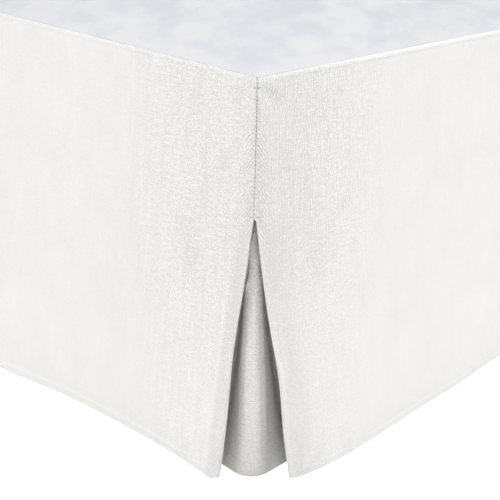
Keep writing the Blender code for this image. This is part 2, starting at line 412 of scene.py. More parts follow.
class NodeBench:
    """Adds nodes to one node tree and joins them."""

    def __init__(self, tree: NodeTree) -> None:
        """Keep the tree that the nodes go into."""
        self.tree = tree

    def feed(self, node: Node, sockets: dict) -> None:
        """Set or join a node's inputs.

        Args:
            node: The node.
            sockets: Values or signals for its inputs, by name or number.
        """
        for name, value in sockets.items():
            if isinstance(value, Signal):
                self.tree.links.new(value.socket, node.inputs[name])
            else:
                node.inputs[name].default_value = value

    def add(self, kind: str, sockets: dict | None = None, **settings: object) -> Node:
        """Add a node.

        Args:
            kind: Blender's name of the node type.
            sockets: Values or signals for its inputs, by name or number.
            **settings: Values of the node's own properties.

        Returns:
            The node.
        """
        node = self.tree.nodes.new(kind)
        for name, value in settings.items():
            setattr(node, name, value)
        self.feed(node, sockets or {})
        return node

    def signal(self, kind: str, output: str | int, sockets: dict | None = None, **settings: object) -> Signal:
        """Add a node and take one of its outputs, by name or number."""
        return Signal(self, self.add(kind, sockets, **settings).outputs[output])

    def group(self, tree: NodeTree, sockets: dict) -> dict[str, Signal]:
        """Add a node group and take its outputs by name."""
        outputs = self.add("ShaderNodeGroup", sockets, node_tree=tree).outputs
        return {output.name: Signal(self, output) for output in outputs}


class Surface(NodeBench):
    """A new material with its shader."""

    def __init__(self, name: str) -> None:
        """Make the material under its name."""
        self.material = bpy.data.materials.new(name)
        self.material.use_nodes = True
        super().__init__(self.material.node_tree)
        self.shader = self.tree.nodes["Principled BSDF"]

    def finish(self, sockets: dict) -> Material:
        """Feed the shader, by the names of its sockets, and give the material."""
        self.feed(self.shader, {"Metallic": 0.0, **sockets})
        return self.material

    def bump(self, height: Signal, strength: float, distance: float) -> Signal:
        """Turn a height into the shader's normal."""
        return self.signal("ShaderNodeBump", 0, {"Height": height, "Strength": strength, "Distance": distance})


def new_group(
    name: str, inputs: dict[str, str], outputs: dict[str, str]
) -> tuple[NodeBench, dict[str, Signal], Node]:
    """Start a shader node group.

    Args:
        name: Name of the group.
        inputs: Kinds of its inputs by name.
        outputs: Kinds of its outputs by name.

    Returns:
        The bench to build on, the group's inputs by name and its output node.
    """
    tree = bpy.data.node_groups.new(name, "ShaderNodeTree")
    for way, sockets in (("INPUT", inputs), ("OUTPUT", outputs)):
        for label, kind in sockets.items():
            tree.interface.new_socket(name=label, in_out=way, socket_type=f"NodeSocket{kind}")
    bench = NodeBench(tree)
    entry = tree.nodes.new("NodeGroupInput")
    signals = {label: Signal(bench, entry.outputs[label]) for label in inputs}
    return bench, signals, tree.nodes.new("NodeGroupOutput")


# The weave's inputs that a cloth finish sets, each from its own field of the same name.
COLOURS = ("Thread", "Shade")
AMOUNTS = "Slub Ribs Ease Worn Pressed Bands Doubled Lip Turned Faded Hem Pale Dull".split()


def weave_group() -> NodeTree:
    """Build the plain weave: crossing threads with thicker places in them, its slubs, and the painted shade and
    painted light laid on its tone.
    """
    inputs = {"Place": "Vector", "Edges": "Vector", **dict.fromkeys(COLOURS, "Color")}
    inputs |= dict.fromkeys((*AMOUNTS, "Drawn", "Threads"), "Float")
    outputs = {"Color": "Color", "Height": "Float", "Roughness": "Float"}
    bench, entry, out = new_group("plain_weave", inputs, outputs)
    place = entry["Place"]
    away, down = place.parts()
    inward, upward = entry["Edges"].parts()

    across = place.noise((70.0, 860.0, 1.0), 0.0)
    speck = place.noise((720.0, 860.0, 1.0), 0.0)
    grain = place.noise((330.0, 300.0, 1.0), 1.0)
    wander = place.noise((90.0, 45.0, 1.0), 0.0) * 5.0
    strong = place.noise((380.0, 130.0, 1.0), 0.0).rise(0.30, 0.68)
    ribbed = (away * 2300.0 + wander).maths("SINE") * strong * down.ramp(0.10, 0.17, 1.0, 0.30)
    slubs = speck * 0.54 + across * 0.20 + grain * 0.30 + ribbed * entry["Ribs"]
    slack = away.ramp(0.08, 0.18, 1.0, entry["Ease"]) * down.ramp(0.15, 0.30, 1.0, 0.60)
    centred = (slubs - 0.5) * entry["Slub"] * slack
    threads = (away * entry["Threads"]).maths("SINE") * (down * entry["Threads"]).maths("SINE")

    cloud = place.noise((34.0, 22.0, 1.0), 2.0) - 0.5
    # Drawn lays the seam puckers' painted shade and highlights on the tone, besides their bump.
    tone = cloud * 0.26 + centred + entry["Drawn"] + threads * 0.07
    bands = place.turned(6).noise((150.0, 15.0, 1.0), 1.0) - 0.5
    tone += bands * away.ramp(0.09, 0.19, 1.0, 0.25) * entry["Bands"]
    # Painted shade: darker near the corner seam, towards the top of the drop.
    near = away.fall(0.02, 0.17) * down.fall(0.12, 0.26)
    # Painted shade: darker over the roll along the top edge.
    fold = down.fall(-0.0030, 0.0014)
    tone = tone - near * entry["Worn"] - fold * entry["Pressed"]

    # Painted shade along the flap edges beside the split, weaker right at the edge.
    split = BED.hang - SEAM_LENGTH
    lip_start = entry["Lip"] * 0.5 - 0.0027
    doubled = inward.fall(entry["Turned"], entry["Faded"]) * inward.ramp(lip_start, entry["Lip"], 0.2, 1.0)
    doubled *= upward.fall(split - 0.020, split)
    # Painted light: paler towards the hem.
    pale = upward.fall(0.0, 0.17)
    tone = tone - doubled * entry["Doubled"] + pale * entry["Pale"]
    # Painted shade: greyer beside the corner, clear of the seam and the hem.
    dull = away.ramp(0.03, 0.07, 0.3, 1.0) * away.fall(0.14, 0.23) * upward.rise(0.03, 0.14)
    # Painted light: a lighter ridge about 6 to 12 mm above the hem and a lighter bottom edge.
    ridge = upward.rise(0.0058, 0.0078) * upward.fall(0.0092, 0.0116)
    ridge += upward.ramp(0.0008, 0.0032, 1.4, 0.0)
    tone = tone - dull * entry["Dull"] + ridge * entry["Hem"]

    share = tone.maths("ADD", 0.5, clamp=True)
    colour = share.blend(entry["Shade"], entry["Thread"])
    height = centred * 0.9 + threads * 0.10
    bench.feed(out, {"Color": colour, "Height": height, "Roughness": share.ramp(0.0, 1.0, 0.97, 0.86)})
    return bench.tree


def pucker_group() -> NodeTree:
    """Build the fine slanting puckers that a tight seam draws into the cloth beside it."""
    bench, entry, out = new_group("seam_puckers", {"Place": "Vector"}, {"Height": "Float"})
    place = entry["Place"]
    away, down = place.parts()
    beside = away.ramp(0.0010, 0.0030, 0.3, 1.0) * away.fall(0.008, 0.020)
    above = (down - SEAM_LENGTH).fall(-0.004, 0.045) * down.ramp(0.02, 0.055, 0.25, 1.0)
    phase = (down - away * 1.4) * 1330.0 + place.noise((110.0, 70.0, 1.0)) * 9.0
    patchy = place.noise((95.0, 120.0, 1.0), 1.0).ramp(0.35, 0.60, 0.25, 1.0)
    bench.feed(out, {"Height": phase.maths("SINE") * (beside * above) * patchy})
    return bench.tree


@dataclass(frozen=True)
class ClothFinish:
    """A woven cloth's colours and surface."""

    name: str
    thread: Colour
    shade: Colour
    slub: float
    ribs: float
    threads_per_metre: float
    relief: float
    sheen: float
    ease: float = 0.45
    # Painted shade near the corner seam.
    worn: float = 0.0
    # Painted shade over the roll at the top edge.
    pressed: float = 0.0
    bands: float = 0.0
    # Painted shade along the flap edges beside the split, placed by lip, turned and faded.
    doubled: float = 0.0
    lip: float = -0.0004
    turned: float = 0.0095
    faded: float = 0.0160
    # Painted light at the hem: a lighter ridge and bottom edge.
    hem: float = 0.0
    # Painted light, paler towards the hem.
    pale: float = 0.0
    # Painted shade beside the corner.
    dull: float = 0.0
    pucker: float = 0.0
    pucker_shade: float = 0.42

    def material(self, weave: NodeTree, puckers: NodeTree) -> Material:
        """Make the cloth's material, which follows the piece's own cloth map.

        Args:
            weave: The plain weave group.
            puckers: The seam pucker group.

        Returns:
            The material.
        """
        surface = Surface(self.name)
        place, edges = (surface.signal("ShaderNodeUVMap", 0, uv_map=layer) for layer in ("cloth", "edges"))
        sockets = {label: getattr(self, label.lower()) for label in (*COLOURS, *AMOUNTS)}
        sockets |= {"Place": place, "Edges": edges, "Threads": math.tau * self.threads_per_metre / 2}
        # The puckers are a bump and also painted shade and highlight on the colour, scaled by pucker_shade.
        drawn = surface.group(puckers, {"Place": place})["Height"] if self.pucker else None
        if drawn:
            sockets["Drawn"] = drawn * self.pucker_shade
        woven = surface.group(weave, sockets)
        height = woven["Height"] + drawn * self.pucker if drawn else woven["Height"]
        return surface.finish({
            "Base Color": woven["Color"],
            "Roughness": woven["Roughness"],
            "Normal": surface.bump(height, 1.0, self.relief),
            "Specular IOR Level": 0.2,
            "Sheen Weight": self.sheen,
            "Sheen Roughness": 0.6,
        })


@dataclass(frozen=True)
class BlotchedCotton:
    """Smooth deck cotton with faint cool blotches and soft wrinkles."""

    name: str
    pale: Colour
    cool: Colour

    def material(self) -> Material:
        """Make the deck's material, with its blotches thinner along the taut edges."""
        surface = Surface(self.name)
        place = surface.signal("ShaderNodeTexCoord", "Object")
        slanted = place.turned(-45)
        across, along = place.parts()
        inside = (BED.width / 2 - across.maths("ABSOLUTE")).maths("MINIMUM", along - BED.foot_y)
        taut = inside.ramp(0.004, 0.050, 0.60, 0.0)
        cloud = slanted.noise((26.0, 9.0, 1.0), 3.0)
        patch = (cloud.rise(0.34, 0.66) - taut).maths("MAXIMUM")
        grain = place.noise((900.0, 900.0, 40.0), 2.0)
        speck = grain.rise(0.3, 0.7).blend((0.95, 0.95, 0.95, 1.0), WHITE)
        tones = {0: 1.0, 6: patch.blend(self.pale, self.cool), 7: speck}
        height = slanted.noise((44.0, 26.0, 1.0), 3.0) + grain * 0.05
        return surface.finish({
            "Base Color": surface.signal("ShaderNodeMix", 2, tones, data_type="RGBA", blend_type="MULTIPLY"),
            "Roughness": cloud.ramp(0.3, 0.7, 0.78, 0.9),
            "Normal": surface.bump(height, 0.5, 0.0016),
            "Specular IOR Level": 0.25,
        })


@dataclass(frozen=True)
class ThreadFinish:
    """Sewing thread."""

    name: str
    colour: Colour
    dark: Colour

    def material(self) -> Material:
        """Make the thread's material, with its twist on object coordinates."""
        surface = Surface(self.name)
        twist = surface.signal("ShaderNodeTexCoord", "Object").noise((2600.0, 2600.0, 2600.0), 1.0)
        return surface.finish({"Base Color": twist.blend(self.dark, self.colour), "Roughness": 0.7})


@dataclass(frozen=True)
class WoodFinish:
    """Stained and waxed leg wood with its grain upright."""

    name: str
    light: Colour
    dark: Colour

    def material(self) -> Material:
        """Make the wood's material on object coordinates."""
        surface = Surface(self.name)
        place = surface.signal("ShaderNodeTexCoord", "Object")
        fine = place.noise((420.0, 420.0, 9.0), 3.0)
        grain = place.noise((34.0, 34.0, 2.2), 4.0) * 0.7 + fine * 0.3
        return surface.finish({
            "Base Color": grain.rise(0.36, 0.64).blend(self.dark, self.light),
            "Roughness": fine.ramp(0.3, 0.7, 0.5, 0.36),
            "Normal": surface.bump(fine, 0.4, 0.0004),
            "Coat Weight": 0.15,
            "Coat Roughness": 0.3,
        })


class Wardrobe:
    """Every finish of the bed skirt and its base, each made once."""

    def __init__(self) -> None:
        """Make the shared groups and the materials."""
        groups = weave_group(), pucker_group()
        linen = ClothFinish(
            name="washed_linen",
            thread=(0.835, 0.829, 0.816, 1.0),
            shade=(0.60, 0.592, 0.576, 1.0),
            slub=3.0,
            ribs=0.02,
            ease=0.24,
            threads_per_metre=1700.0,
            relief=0.00022,
            sheen=0.12,
            worn=0.21,
            pressed=0.30,
            bands=0.42,
            doubled=0.28,
            hem=0.09,
            pale=0.13,
            dull=0.085,
            pucker=1.4,
        )
        # The side copy lays other amounts of painted shade and painted light than the foot linen, besides its own
        # slubs and ribs.
        side_linen = replace(
            linen,
            name="washed_side_linen",
            slub=2.4,
            ribs=0.20,
            ease=0.20,
            worn=0.28,
            pressed=0.08,
            bands=0.25,
            doubled=0.20,
            lip=0.0075,
            turned=0.012,
            faded=0.048,
            pale=0.10,
            dull=0.0,
        )
        # A paler, warmer copy of the linen for the inner panels: painted light that lifts them in the shade of the
        # split.
        inner = ClothFinish(
            name="inner_linen_painted_light",
            thread=(0.865, 0.846, 0.828, 1.0),
            shade=(0.63, 0.608, 0.588, 1.0),
            slub=4.0,
            ribs=0.06,
            ease=1.0,
            threads_per_metre=1700.0,
            relief=0.00022,
            sheen=0.0,
            bands=0.60,
        )
        ticking = ClothFinish(
            name="base_ticking",
            thread=(0.78, 0.76, 0.72, 1.0),
            shade=(0.62, 0.60, 0.56, 1.0),
            slub=1.0,
            ribs=0.0,
            threads_per_metre=1300.0,
            relief=0.0002,
            sheen=0.05,
        )
        cotton = BlotchedCotton("deck_cotton", pale=(0.606, 0.606, 0.624, 1.0), cool=(0.528, 0.541, 0.582, 1.0))
        thread = ThreadFinish("linen_thread", colour=(0.72, 0.71, 0.69, 1.0), dark=(0.58, 0.57, 0.55, 1.0))
        # Dark thread for the seam: its stitches, darkened with painted shade, and the painted shadow of its gap.
        seam_thread_and_shade = ThreadFinish("seam_thread_and_shade", colour=(0.36, 0.355, 0.345, 1.0), dark=(0.24, 0.235, 0.23, 1.0))
        wood = WoodFinish("leg_wood", light=(0.30, 0.175, 0.095, 1.0), dark=(0.13, 0.068, 0.036, 1.0))
        self.linen = linen.material(*groups)
        self.side_linen = side_linen.material(*groups)
        self.inner = inner.material(*groups)
        self.ticking = ticking.material(*groups)
        self.cotton = cotton.material()
        self.thread = thread.material()
        self.seam_thread_and_shade = seam_thread_and_shade.material()
        self.wood = wood.material()


# --- the hanging drops ---


@dataclass(frozen=True)
class FlapEdge:
    """The turned-back edge of a flap, sewn to its neighbour above and open below.

    It springs open just below the seam and bows most at one height. Its lower corner is rounded.
    """

    opening: float
    roll: float
    neighbour_flare: float
    spring: float = 0.0011
    bow: float = 0.0
    bow_at: float = 0.24
    bow_spread: float = 0.048
    corner_round: float = 0.004
    spring_height: float = 0.0022
    corner_steepness: float = 0.55

    def at(self, inset: float, roll_angle: float, hang: float) -> tuple[float, float]:
        """Where the edge lies in one row.

        Args:
            inset: Distance from the roll over the base's edge towards the deck.
            roll_angle: Angle round that roll.
            hang: Distance below it.

        Returns:
            Distance from the corner and radius of the edge's turn.
        """
        mitre = BED.top_roll + inset - BED.top_roll * math.sin(roll_angle)
        opened = grow((hang - SEAM_LENGTH) / (BED.hang - SEAM_LENGTH), 1.0)
        spring = self.spring * grow((hang - SEAM_LENGTH) / self.spring_height, 1.0)
        bow = self.bow * bell((hang - self.bow_at) / self.bow_spread) * grow(opened / 0.2, 1.0)
        lead = self.neighbour_flare * grow(hang / BED.hang, FLARE_POWER) * (1 - opened)
        distance = SEWN_EDGE + mitre + spring + self.opening * opened + bow - lead
        return distance, SEWN_ROLL + (self.roll - SEWN_ROLL) * grow(opened, 1.3)

    def rounded(self, distance: float, hang: float) -> float:
        """How far the rounded lower corner lifts the hem, at a distance from the flap's edge."""
        lift = self.corner_steepness * self.corner_round * grow(1 - distance / self.corner_round, 2.0)
        return lift * grow(1 - (BED.hang - hang) / (4 * self.corner_round), 1.5)


@dataclass(frozen=True)
class Column:
    """A line down the cloth, placed from the corner that it belongs to."""

    front: float = 0.0
    turn: float = 0.0
    back: float = 0.0


@dataclass(frozen=True)
class Row:
    """A line along the cloth, placed from the deck's seam down to the hem."""

    inset: float = 0.0
    roll: float = math.pi / 2
    hang: float = 0.0


@dataclass
class HangingDrop:
    """One hanging panel of the skirt, described from its first corner onwards."""

    name: str
    node: str
    corner: Vector
    along: Vector
    outward: Vector
    length: float
    first_edge: FlapEdge
    last_edge: FlapEdge | None
    flare: float
    folds: tuple[Fold, ...]
    creases: tuple[Crease, ...]
    rumple: Rumple
    shoulder: float = 0.0
    near_reach: float = 0.52
    return_width: float = 0.030
    blend: float = 0.150
    stitch_height: float = 0.0100
    seam_hold: float = 0.010
    crease_fade: float = 0.004
    rumple_fade: float = 0.020
    shoulder_fall: float = 0.0045
    shoulder_reach: float = 0.080
    piece: Object | None = field(default=None, init=False)

    def swing(self, run: float, hang: float) -> float:
        """How far the cloth stands out from its plane at one place."""
        down = grow(hang / BED.hang, 1.0)
        out = self.flare * down**FLARE_POWER + sum(fold.lift(run, down) for fold in self.folds)
        if hang > 0:
            held = min(1.0, run / self.seam_hold + grow((hang - SEAM_LENGTH) / 0.03, 1.0))
            fine = sum(crease.lift(run, hang) for crease in self.creases) * grow(run / self.crease_fade, 1.0)
            soft = self.rumple.lift(run, hang) * grow(hang / self.rumple_fade, 1.0) * held
            out += fine * grow(hang / self.crease_fade, 1.0) + soft
            sunk = math.exp(-hang / self.shoulder_fall) * grow(run / self.shoulder_reach, 1.0)
            out -= self.shoulder * sunk * grow(hang / 0.001, 1.0)
        return out - HEM_GROOVE * bell((hang - (BED.hang - self.stitch_height)) / GROOVE_WIDTH)

    def end_columns(self, edge: FlapEdge | None, fine: float) -> list[Column]:
        """Columns from one end to where its blend stops, the outermost first.

        Args:
            edge: The flap's turned edge, or None at a plain end.
            fine: Spacing of the columns beside the corner.

        Returns:
            The columns.
        """
        if edge is None:
            return [Column(front=distance) for distance in spaced(0.0, self.blend, 0.010)]
        turned = [Column(turn=math.pi, back=self.return_width * share) for share in (1.0, 0.75, 0.5, 0.25)]
        turned += [Column(turn=math.pi * (1 - step / 12)) for step in range(13)]
        fronts = spaced(0.0, 0.024, fine) + spaced(0.024, 0.060, fine * 2) + spaced(0.060, self.blend, 0.0045)
        return turned + [Column(front=distance) for distance in fronts[1:]]

    def lines(self) -> list[tuple[Column, bool]]:
        """Each column with whether it is measured from the far end."""
        first = [(column, False) for column in self.end_columns(self.first_edge, 0.0012)]
        last = [(column, True) for column in self.end_columns(self.last_edge, 0.0024)]
        far = self.length - self.blend
        fronts = spaced(self.blend, self.near_reach, 0.0065) + spaced(self.near_reach, far, 0.015)
        middle = [(Column(front=front), False) for front in fronts]
        return first + middle + [(Column(front=self.blend), True)] + last[::-1]

    def rows(self) -> list[Row]:
        """Rows from under the deck, over the roll and down to the hem."""
        rows = [Row(inset=inset, roll=0.0) for inset in (0.0014, 0.0007)]
        rows += [Row(roll=math.pi / 2 * step / 7) for step in range(7)]
        hem_line = BED.hang - BED.hem_height
        hangs = [0.0, 0.0008, 0.0018] + spaced(0.003, SEAM_LENGTH, 0.0021)
        hangs += [SEAM_LENGTH + step for step in (0.0, 0.0009, 0.0020, 0.0034, 0.0050)]
        hangs += spaced(SEAM_LENGTH + 0.0072, hem_line - 0.002, 0.0030)
        hangs += [hem_line - 0.002, hem_line - 0.0008]
        hangs += [BED.hang - rise for rise in (0.0104, 0.0096, 0.0088, 0.0075, 0.0050, 0.0022, 0.0006, 0.0)]
        return rows + [Row(hang=hang) for hang in hangs]

    def spot(self, column: Column, row: Row, from_last: bool) -> Spot:
        """Where one column crosses one row.

        Args:
            column: The column.
            row: The row.
            from_last: Whether the column is measured from the far end.

        Returns:
            The place and its distances along and down the cloth.
        """
        edge_kind = self.last_edge if from_last else self.first_edge
        edge, radius = edge_kind.at(row.inset, row.roll, row.hang) if edge_kind else (0.0, 0.0)
        moved = edge * max(0.0, 1 - column.front / self.blend)
        run = column.front + moved - radius * math.sin(column.turn) + column.back
        depth = radius * (1 - math.cos(column.turn))
        away = run if column.turn == 0 else run - column.turn * radius - 2 * column.back
        if from_last:
            run = self.length - run
        layer_roll = BED.top_roll - depth
        inset = BED.top_roll + row.inset - layer_roll * math.sin(row.roll)
        height = BED.top_z - BED.top_roll + layer_roll * math.cos(row.roll) - row.hang
        place = self.corner + self.along * run + self.outward * (self.swing(run, row.hang) - inset)
        place.z = height + (edge_kind.rounded(column.front, row.hang) if edge_kind else 0.0)
        down = row.hang - (BED.top_roll * (math.pi / 2 - row.roll) + row.inset)
        return Spot(place, away, down, away - edge if edge_kind else 1.0, BED.hang - row.hang)

    def build(self) -> Object:
        """Sew the panel with its roll, its turned-back edges and its hem."""
        lines = self.lines()
        rows = [[self.spot(column, row, last) for column, last in lines] for row in self.rows()]
        self.piece = ClothCut(self.name, BED.linen, BED.linen_hem, HEM_ROWS).sew(rows)
        return self.piece

    def front(self, run: float, hang: float) -> Vector:
        """The point on the outer face at one place of the front."""
        thick = BED.linen_hem if hang > BED.hang - self.stitch_height - 0.0005 else BED.linen
        place = self.corner + self.along * run + self.outward * (self.swing(run, hang) + thick / 2)
        place.z = BED.top_z - BED.top_roll - hang
        return place

    def stitch_line(self) -> list[Stitch]:
        """The two ends of each stitch of the hem."""
        hang = BED.hang - self.stitch_height
        start = self.first_edge.at(0.0, math.pi / 2, hang)[0] + self.first_edge.corner_round
        end = self.length - 0.006
        if self.last_edge:
            end -= self.last_edge.at(0.0, math.pi / 2, hang)[0]
        runs = spaced(start, end, STITCH_PITCH)
        return [(self.front(run, hang), self.front(run + STITCH_LENGTH, hang)) for run in runs]

    def dress(self, wardrobe: Wardrobe, stitches: Object) -> None:
        """Give the panel its linen and hide the solid that it stands for."""
        linen = wardrobe.linen if self.last_edge else wardrobe.side_linen
        dress_piece(self.piece, linen, Slot.LINEN, [self.node])
        turned = self.return_width * (2 if self.last_edge else 1)
        self.length + turned
        BED.drop + BED.hem_height


@dataclass
class CornerPanel:
    """The rounded inner panel behind one foot split.

    Pairs of values are for the wing behind the foot drop and the one behind the side drop.
    """

    name: str
    node: str
    corner: Corner
    foot_inset: float
    side_inset: float
    round_hem: float
    creases: tuple[Crease, ...]
    rumple: Rumple
    tuck: float = 0.0190
    nose_spread: tuple[float, float] = (1.20, 1.34)
    wing_reach: tuple[float, float] = (1.0, 1.35)
    dip: tuple[float, float] = (0.0030, 0.0078)
    dip_start: tuple[float, float] = (0.60, 0.94)
    nose_out: float = 0.0020
    reach: float = 0.110
    inset_top: float = 0.0048
    round_top: float = 0.015
    sink_start: float = 0.262
    belly_top: float = 0.2745
    hem_height: float = 0.016
    groove: float = 0.0003
    top_fade: float = 0.100
    gap_top: float = 0.0035
    gap_growth: float = 0.0405
    wing_fade: float = 0.018
    dip_run: float = 0.47
    wing_steps: int = 34
    wing_crowding: float = 1.35
    nose_steps: int = 28
    stitch_pitch: float = 0.0033
    stitch_half: float = 0.0012
    piece: Object | None = field(default=None, init=False)

    @property
    def top_z(self) -> float:
        """Height of its top edge."""
        return BED.top_z - BED.top_roll - 0.002

    def section(self, height: float) -> list[tuple[Vector, Vector, float]]:
        """Its line in plan at one height, from the foot drop's side to the side drop's.

        Args:
            height: The height above the floor.

        Returns:
            Place measured inwards from the corner, direction outwards, and distance from the
            middle of the nose, for each point.
        """
        sink = grow(1 - height / self.sink_start, 1.3)
        behind_foot = self.inset_top + (self.foot_inset - self.inset_top) * sink
        behind_side = self.inset_top + (self.side_inset - self.inset_top) * sink
        radius = self.round_top + (self.round_hem - self.round_top) * sink
        centre = Vector((behind_side + radius, behind_foot + radius))
        half = radius * math.pi / 4
        line = []
        shares = [(step / self.wing_steps) ** self.wing_crowding for step in range(1, self.wing_steps + 1)]
        for share in shares[::-1]:
            distance = centre.x + (self.reach - centre.x) * share
            line.append((Vector((distance, behind_foot)), Vector((0.0, -1.0)), -half - (distance - centre.x)))
        for step in range(self.nose_steps + 1):
            angle = math.pi / 2 * step / self.nose_steps
            outward = Vector((-math.sin(angle), -math.cos(angle)))
            line.append((centre + outward * radius, outward, -half + angle * radius))
        for share in shares:
            distance = centre.y + (self.reach - centre.y) * share
            line.append((Vector((behind_side, distance)), Vector((-1.0, 0.0)), half + (distance - centre.y)))
        return line

    def lift(self, along: float, height: float) -> float:
        """How far the cloth stands out of its smooth section at one place."""
        down = self.top_z - height
        fade = grow(down / self.top_fade, 1.0)
        out = sum(crease.lift(along, down) for crease in self.creases) + self.rumple.lift(along, down)
        rise = grow((height - BED.hem_clearance) / (self.belly_top - BED.hem_clearance), 1.0)
        belly = math.sin(math.pi * rise) ** 0.5 * (1.4 - 0.8 * rise)
        gap = self.gap_top + self.gap_growth * (1 - rise)
        wing = 0 if along < 0 else 1
        spread = self.nose_spread[wing]
        share = 1 - bell(along / (spread * gap + 0.0015))
        behind = bell(max(abs(along) - self.wing_reach[wing] * gap, 0.0) / self.wing_fade)
        out -= self.tuck * belly * share * behind
        dipped = grow((abs(along) / gap - self.dip_start[wing]) / self.dip_run, 2.0)
        out -= self.dip[wing] * belly * dipped * behind
        out += self.nose_out * belly * bell(along / (0.30 * gap + 0.004))
        groove = bell((height - BED.hem_clearance - self.hem_height + 0.001) / 0.0012)
        return out * fade - self.groove * groove

    def world(self, flat: Vector, height: float) -> Vector:
        """A place measured inwards from the corner, in the bed's frame."""
        side = self.corner.value
        return Vector((side * (BED.width / 2 - flat.x), BED.foot_y + flat.y, height))

    def build(self) -> Object:
        """Sew the inner panel."""
        hem_top = BED.hem_clearance + self.hem_height
        downs = spaced(0.0, 0.110, 0.0040) + spaced(0.110, 0.215, 0.0011)
        downs += spaced(0.215, self.top_z - hem_top - 0.001, 0.0027)
        heights = [self.top_z - down for down in downs] + [hem_top + 0.001]
        rises = (0.0155, 0.0146, 0.0135, 0.011, 0.008, 0.004, 0.0012, 0.0)
        heights += [BED.hem_clearance + rise for rise in rises]
        rows = []
        for height in heights:
            row = []
            for flat, outward, along in self.section(height):
                place = self.world(flat + outward * self.lift(along, height), height)
                row.append(Spot(place, along + 0.2, self.top_z - height))
            rows.append(row)
        self.piece = ClothCut(self.name, BED.linen, BED.linen_hem, HEM_ROWS).sew(rows)
        return self.piece

    def stitch_line(self) -> list[Stitch]:
        """The two ends of each stitch of the hem."""
        height = BED.hem_clearance + self.hem_height - 0.001
        line = [
            self.world(flat + outward * (self.lift(along, height) + BED.linen_hem / 2), height)
            for flat, outward, along in self.section(height)
        ]
        stitches, due = [], 0.002
        for start, end in zip(line, line[1:]):
            step = end - start
            while due < step.length:
                middle = start + step * (due / step.length)
                reach = step.normalized() * self.stitch_half
                stitches.append((middle - reach, middle + reach))
                due += self.stitch_pitch
            due -= step.length
        return stitches

    def dress(self, wardrobe: Wardrobe, stitches: Object) -> None:
        """Give the panel its linen and hide the solid that it stands for."""
        dress_piece(self.piece, wardrobe.inner, Slot.LINEN, [self.node])
        2 * self.reach
        self.top_z - BED.hem_clearance + self.hem_height


# --- sewing ---


@dataclass
class RunningStitches:
    """A row of straight stitches, each half sunk in the cloth."""

    name: str
    thread: float = 0.00021

    def build(self, stitches: Sequence[Stitch]) -> Object:
        """Lay one short length of thread for each stitch.

        Args:
            stitches: The two ends of each stitch.

        Returns:
            The stitches as one piece.
        """
        bm = bmesh.new()
        for start, end in stitches:
            span = end - start
            place = Matrix.Translation((start + end) / 2) @ span.to_track_quat("Z", "Y").to_matrix().to_4x4()
            radii = {"radius1": self.thread, "radius2": self.thread}
            bmesh.ops.create_cone(bm, cap_ends=True, segments=6, depth=span.length, matrix=place, **radii)
        return finished(self.name, bm)


@dataclass
class SeamStitches:
    """Hand stitches across one corner seam, with the bar tacks at its two ends, and a dark thread down inside the
    seam as its painted shadow.
    """

    name: str
    foot: HangingDrop
    side: HangingDrop
    pitch: float = 0.0034
    reach: float = 0.0026

    def across(self, drop: HangingDrop, hang: float, reach: float) -> Stitch:
        """One stitch on one drop, from the seam outwards.

        Args:
            drop: The drop that it lies on.
            hang: Its distance below the roll.
            reach: Its length.

        Returns:
            The two ends of the stitch.
        """
        ends = (0.0007, SEWN_EDGE + reach)
        if drop is self.foot and self.side.corner.x < 0:
            ends = (drop.length - ends[0], drop.length - ends[1])
        return drop.front(ends[0], hang), drop.front(ends[1], hang)

    def down(self, hang: float) -> Vector:
        """A place on the dark thread that runs down inside the seam, a painted shadow of its gap."""
        run = 0.001 if self.side.corner.x > 0 else self.foot.length - 0.001
        sunk = 0.0004
        place = self.side.corner + self.foot.outward * (self.foot.swing(run, hang) - sunk)
        place += self.side.outward * (self.side.swing(0.001, hang) - sunk)
        place.z = BED.top_z - BED.top_roll - hang
        return place

    def knots(self) -> list[Stitch]:
        """The two ends of each short length of dark thread inside the seam, which paints the seam's shadow."""
        hangs = spaced(0.0022, SEAM_LENGTH - 0.003, 0.0027)
        return [(self.down(hang), self.down(hang + 0.0017)) for hang in hangs]

    def line(self) -> list[Stitch]:
        """The two ends of each stitch, from the upper bar tack to the lower one."""
        stitches = []
        for index, hang in enumerate(spaced(0.0072, SEAM_LENGTH - 0.004, self.pitch)):
            hang += 0.0004 * math.sin(index * 1.9)
            left = 0.25 + 0.75 * abs(math.sin(index * 2.3 + 0.4))
            right = 0.25 + 0.75 * abs(math.sin(index * 1.7 + 1.9))
            stitches.append(self.across(self.foot, hang, self.reach * left))
            stitches.append(self.across(self.side, hang + 0.0002, self.reach * right))
        upper = (0.0042, 0.00030, (0.0052, 0.0047, 0.0052), (0.0026, 0.0020, 0.0014))
        lower = (SEAM_LENGTH - 0.0013, 0.00026, (0.0030, 0.0034, 0.0030), (0.0030, 0.0025, 0.0030))
        for top, step, side_reaches, foot_reaches in (upper, lower):
            for index, (side_reach, foot_reach) in enumerate(zip(side_reaches, foot_reaches)):
                stitches.append(self.across(self.side, top + step * index, side_reach))
                stitches.append(self.across(self.foot, top + step * index, foot_reach))
        return stitches


# --- the deck, the base and its legs ---


